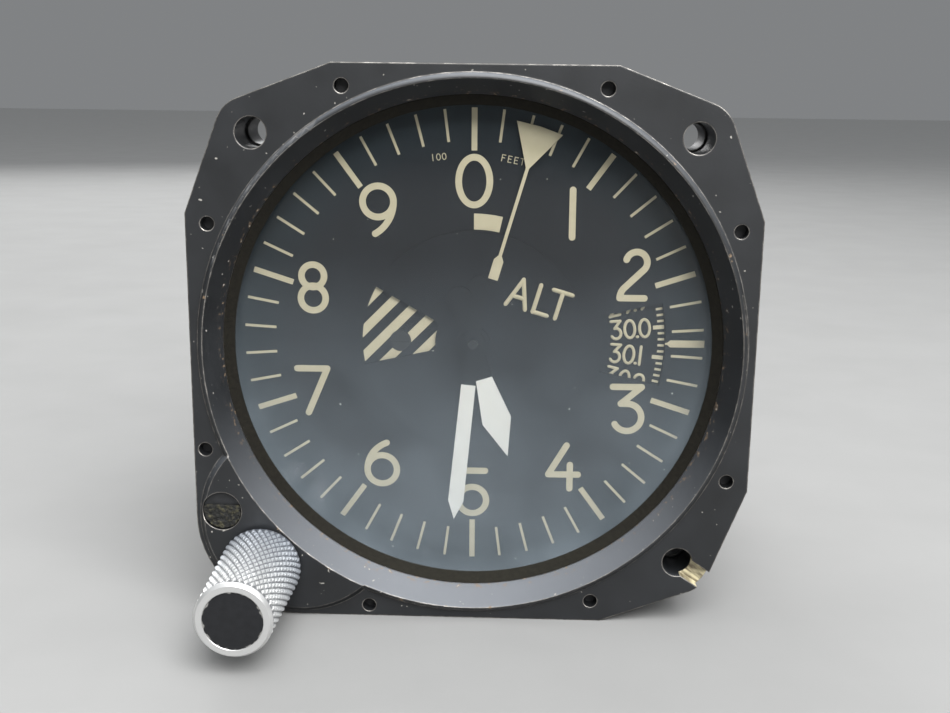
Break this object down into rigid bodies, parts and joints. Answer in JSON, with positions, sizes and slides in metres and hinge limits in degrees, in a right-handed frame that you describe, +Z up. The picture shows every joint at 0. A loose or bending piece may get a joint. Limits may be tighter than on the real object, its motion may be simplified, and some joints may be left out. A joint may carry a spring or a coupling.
{
  "type": "aircraft altimeter",
  "caption": "Square-flanged round altimeter with coaxial pointers, a numbered dial, a pressure-setting window and a knurled corner knob, driven by aneroid capsules.",
  "frame": {"origin": "on the dial's axis, in the plane of the frame's front face", "axes": "+X to the right on the dial, +Y from the front towards the back of the case, +Z up on the dial"},
  "size_m": [0.0824, 0.0955, 0.0824],
  "materials": {
    "black_paint": "worn satin black enamel on aluminium",
    "case_paint": "satin black enamel on cast aluminium",
    "gasket_rubber": "matte",
    "window_glass": "clear",
    "steel": "turned",
    "sealed_screw": "steel head under olive sealing compound",
    "blacked_steel": "blacked",
    "brass": "cut brass",
    "plate_brass": "brushed brass",
    "knurled_aluminium": "diamond knurl",
    "black_plastic": "matte",
    "dial_black": "matte black",
    "cream_print": "matte cream print",
    "white_hand": "matte white with black hub",
    "capsule_alloy": "rolled copper alloy"
  },
  "bodies": {
    "case": {"front_frame": "black_paint", "case_body": "case_paint", "glass_gasket": "gasket_rubber", "glass": "window_glass", "glass_seat": "gasket_rubber", "case_screws": "steel", "lock_screw": "sealed_screw", "knob_bush": "brass", "knob_seal": "gasket_rubber", "idler_posts": "steel", "dial": "dial_black", "dial_marks": "cream_print", "dial_screws": "blacked_steel", "main_plate": "plate_brass", "main_plate_screws": "steel", "front_pillars": "plate_brass", "bridge_plate": "plate_brass", "rear_pillars": "plate_brass", "back_plate": "plate_brass", "pillar_screws": "steel", "aneroid_capsules": "capsule_alloy", "capsule_bracket": "steel", "bracket_screws": "steel", "rear_cock": "plate_brass", "cock_posts": "plate_brass", "cock_screws": "steel", "hairspring": "steel", "hairspring_stud": "plate_brass"},
    "knob": {"setting_knob": "knurled_aluminium", "knob_cap": "black_plastic", "knob_shaft": "steel"},
    "outer_idler_gear": {"outer_idler": "brass"},
    "inner_idler_gear": {"inner_idler": "brass"},
    "setting_disc": {"setting_scale": "dial_black", "setting_scale_marks": "cream_print"},
    "hundred_foot_pointer": {"hundred_foot_hand": "white_hand", "hand_staff": "steel"},
    "thousand_foot_pointer": {"thousand_foot_hand": "white_hand", "thousand_foot_sleeve": "brass", "thousand_foot_wheel": "brass"},
    "ten_thousand_foot_pointer": {"ten_thousand_disc": "dial_black", "ten_thousand_marks": "cream_print", "ten_thousand_sleeve": "brass", "ten_thousand_wheel": "brass"},
    "first_reduction": {"first_reduction_arbor": "steel", "first_reduction_wheel": "brass"},
    "second_reduction": {"second_reduction_arbor": "steel", "second_reduction_wheel": "brass"},
    "drive": {"drive_arbor": "steel", "drive_wheel": "brass", "hairspring_collet": "brass"},
    "rocker": {"rocking_shaft": "steel", "sector_gear": "brass"},
    "yoke": {"capsule_yoke": "steel"}
  },
  "joints": [
    {"name": "hundred_foot_turn", "type": "hinge", "parent": "case", "child": "hundred_foot_pointer", "pos_m": [0, 0, 0], "axis": [0, 1, 0], "range_deg": [-1985.4, 5574.6]},
    {"name": "thousand_foot_turn", "type": "hinge", "parent": "case", "child": "thousand_foot_pointer", "pos_m": [0, 0, 0], "axis": [0, 1, 0], "range_deg": [-198.54, 557.46]},
    {"name": "ten_thousand_foot_turn", "type": "hinge", "parent": "case", "child": "ten_thousand_foot_pointer", "pos_m": [0, 0, 0], "axis": [0, 1, 0], "range_deg": [-19.86, 55.75]},
    {"name": "first_reduction_turn", "type": "hinge", "parent": "case", "child": "first_reduction", "pos_m": [-0.00646, 0, 0.00827], "axis": [0, 1, 0], "range_deg": [-2229.84, 794.16]},
    {"name": "second_reduction_turn", "type": "hinge", "parent": "case", "child": "second_reduction", "pos_m": [0.00646, 0, -0.00827], "axis": [0, 1, 0], "range_deg": [-222.99, 79.42]},
    {"name": "drive_turn", "type": "hinge", "parent": "case", "child": "drive", "pos_m": [0.01206, 0, 0.00942], "axis": [0, 1, 0], "range_deg": [-743.28, 264.72], "deforming": ["hairspring"]},
    {"name": "rocker_turn", "type": "hinge", "parent": "case", "child": "rocker", "pos_m": [-0.01198, 0, -0.00352], "axis": [0, 1, 0], "range_deg": [-22.06, 61.94]},
    {"name": "knob_turn", "type": "hinge", "parent": "case", "child": "knob", "pos_m": [-0.03121, 0, -0.03277], "axis": [0, 1, 0], "range_deg": [-2246, 1087]},
    {"name": "outer_idler_turn", "type": "hinge", "parent": "case", "child": "outer_idler_gear", "pos_m": [-0.02741, 0, -0.02879], "axis": [0, 1, 0], "range_deg": [-905.83, 1871.67]},
    {"name": "inner_idler_turn", "type": "hinge", "parent": "case", "child": "inner_idler_gear", "pos_m": [-0.0231, 0, -0.02426], "axis": [0, 1, 0], "range_deg": [-1727.69, 836.15]},
    {"name": "setting_disc_turn", "type": "hinge", "parent": "case", "child": "setting_disc", "pos_m": [0, 0, 0], "axis": [0, 1, 0], "range_deg": [-89.84, 185.62]},
    {"name": "yoke_slide", "type": "slide", "parent": "case", "child": "yoke", "axis": [1, 0, 0], "range_m": [-0.00115, 0.00324], "deforming": ["aneroid_capsules"]}
  ],
  "couplings": [
    {"joint": "thousand_foot_turn", "follows": "hundred_foot_turn", "ratio": 0.1},
    {"joint": "ten_thousand_foot_turn", "follows": "hundred_foot_turn", "ratio": 0.01},
    {"joint": "first_reduction_turn", "follows": "hundred_foot_turn", "ratio": -0.4},
    {"joint": "second_reduction_turn", "follows": "hundred_foot_turn", "ratio": -0.04},
    {"joint": "drive_turn", "follows": "hundred_foot_turn", "ratio": -0.13333},
    {"joint": "rocker_turn", "follows": "hundred_foot_turn", "ratio": 0.011111},
    {"joint": "yoke_slide", "follows": "hundred_foot_turn", "m_per_rad": 0.000033244},
    {"joint": "outer_idler_turn", "follows": "knob_turn", "ratio": -0.83333},
    {"joint": "inner_idler_turn", "follows": "knob_turn", "ratio": 0.76923},
    {"joint": "setting_disc_turn", "follows": "knob_turn", "ratio": -0.082645}
  ]
}
